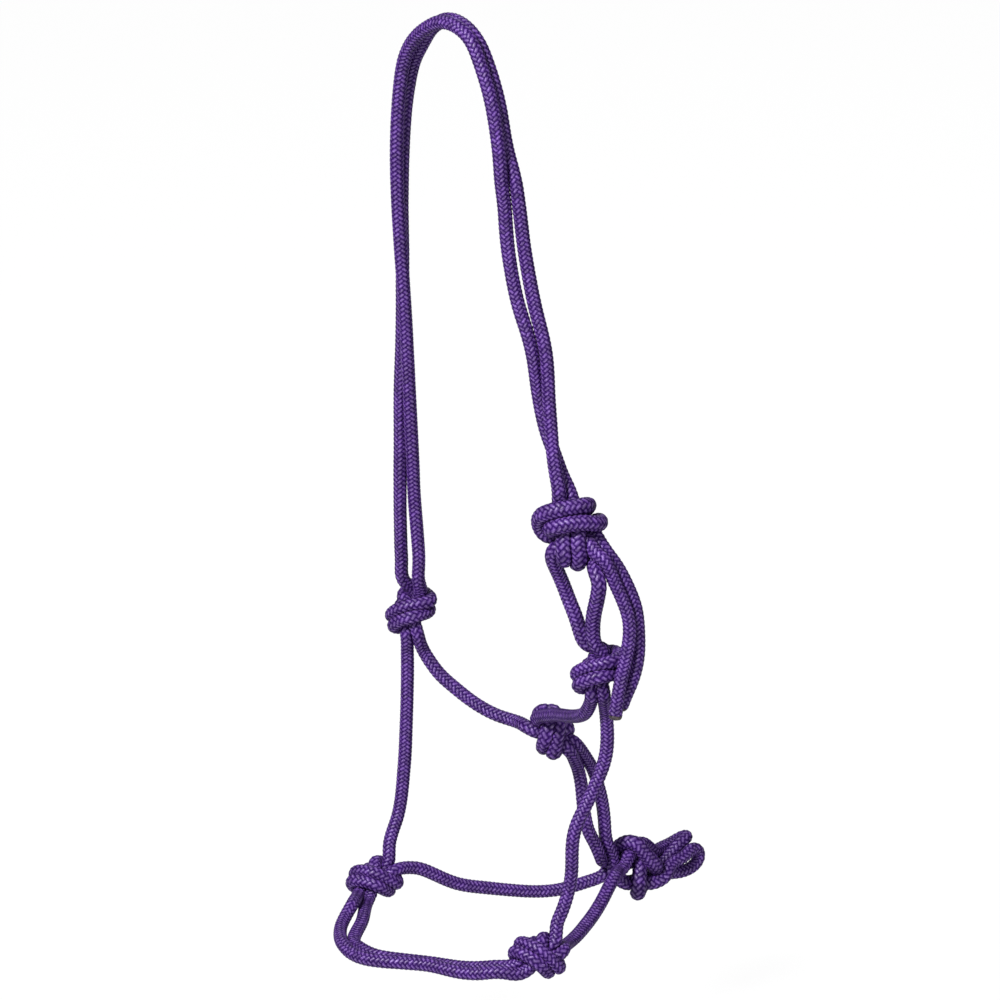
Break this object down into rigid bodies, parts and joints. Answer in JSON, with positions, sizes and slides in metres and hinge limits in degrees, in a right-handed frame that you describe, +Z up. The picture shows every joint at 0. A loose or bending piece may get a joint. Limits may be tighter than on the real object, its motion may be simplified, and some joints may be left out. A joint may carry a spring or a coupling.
{
  "type": "rope halter",
  "caption": "Hand-tied rope halter of braided cord: double crown, cheek pieces, double noseband, throatlatch, fiador knot with lead loops, tied at the side.",
  "frame": {"origin": "middle of the muzzle opening, level with the two nose knots", "axes": "+Z up towards the horse's poll, -Y towards the horse's nose, +Y towards the fiador knot and lead loops under the jaw, +X the horse's near (left) side, where the crown is tied"},
  "size_m": [0.2091, 0.2708, 0.5829],
  "materials": {
    "braided_cord": "violet braided polyester sheath with a soft sheen",
    "core_yarn": "natural white core yarns",
    "melted_cord": "heat-sealed cord end, dark and smooth"
  },
  "bodies": {
    "crown": {"crown_eye_loop": "braided_cord", "crown_eye_loop_core": "core_yarn", "crown_strand_front": "braided_cord", "crown_strand_front_core": "core_yarn", "crown_strand_rear": "braided_cord", "crown_strand_rear_core": "core_yarn", "crown_tie_knot": "braided_cord", "crown_tie_knot_core": "core_yarn"},
    "headframe": {"far_cheek_knot": "braided_cord", "far_cheek_knot_core": "core_yarn", "far_cheek_piece": "braided_cord", "far_cheek_piece_core": "core_yarn", "far_chin_strand": "braided_cord", "far_chin_strand_core": "core_yarn", "far_nose_knot": "braided_cord", "far_nose_knot_core": "core_yarn", "far_throatlatch": "braided_cord", "far_throatlatch_core": "core_yarn", "fiador_knot": "braided_cord", "fiador_knot_core": "core_yarn", "near_cheek_knot": "braided_cord", "near_cheek_knot_core": "core_yarn", "near_cheek_piece": "braided_cord", "near_cheek_piece_core": "core_yarn", "near_chin_strand": "braided_cord", "near_chin_strand_core": "core_yarn", "near_nose_knot": "braided_cord", "near_nose_knot_core": "core_yarn", "near_throatlatch": "braided_cord", "near_throatlatch_core": "core_yarn", "throat_knot": "braided_cord", "throat_knot_core": "core_yarn", "throat_strand_front": "braided_cord", "throat_strand_front_core": "core_yarn", "throat_strand_rear": "braided_cord", "throat_strand_rear_core": "core_yarn"},
    "front_lead_loop": {"lead_loop_front": "braided_cord", "lead_loop_front_core": "core_yarn"},
    "rear_lead_loop": {"lead_loop_rear": "braided_cord", "lead_loop_rear_core": "core_yarn"},
    "noseband": {"noseband_strand_inner": "braided_cord", "noseband_strand_inner_core": "core_yarn", "noseband_strand_outer": "braided_cord", "noseband_strand_outer_core": "core_yarn"},
    "tails": {"tail_front": "braided_cord", "tail_front_core": "core_yarn", "tail_front_sealed_end": "melted_cord", "tail_rear": "braided_cord", "tail_rear_core": "core_yarn", "tail_rear_sealed_end": "melted_cord"}
  },
  "joints": [
    {"name": "headframe_swing", "type": "hinge", "parent": "crown", "child": "headframe", "pos_m": [-0.00059, 0.03304, 0.18887], "axis": [0.9984, -0.0043, 0.0568], "range_deg": [-45, 38], "stiffness_Nm_per_rad": 0.3},
    {"name": "noseband_lift", "type": "hinge", "parent": "headframe", "child": "noseband", "pos_m": [0.0033, -0.02026, -0.00531], "axis": [0.9998, -0.0054, 0.0189], "range_deg": [-5, 30], "stiffness_Nm_per_rad": 0.15},
    {"name": "front_lead_loop_swing", "type": "hinge", "parent": "headframe", "child": "front_lead_loop", "pos_m": [0.00528, 0.16011, -0.01541], "axis": [-0.9116, 0.388, 0.1361], "range_deg": [0, 18], "stiffness_Nm_per_rad": 0.03},
    {"name": "rear_lead_loop_swing", "type": "hinge", "parent": "headframe", "child": "rear_lead_loop", "pos_m": [-0.0052, 0.16085, -0.01071], "axis": [-0.0869, 0.2117, 0.9735], "range_deg": [0, 40], "stiffness_Nm_per_rad": 0.03},
    {"name": "tails_swing", "type": "hinge", "parent": "crown", "child": "tails", "pos_m": [0.08976, 0.0356, 0.24767], "axis": [0.0304, -0.9754, 0.2182], "range_deg": [0, 55], "stiffness_Nm_per_rad": 0.05}
  ]
}
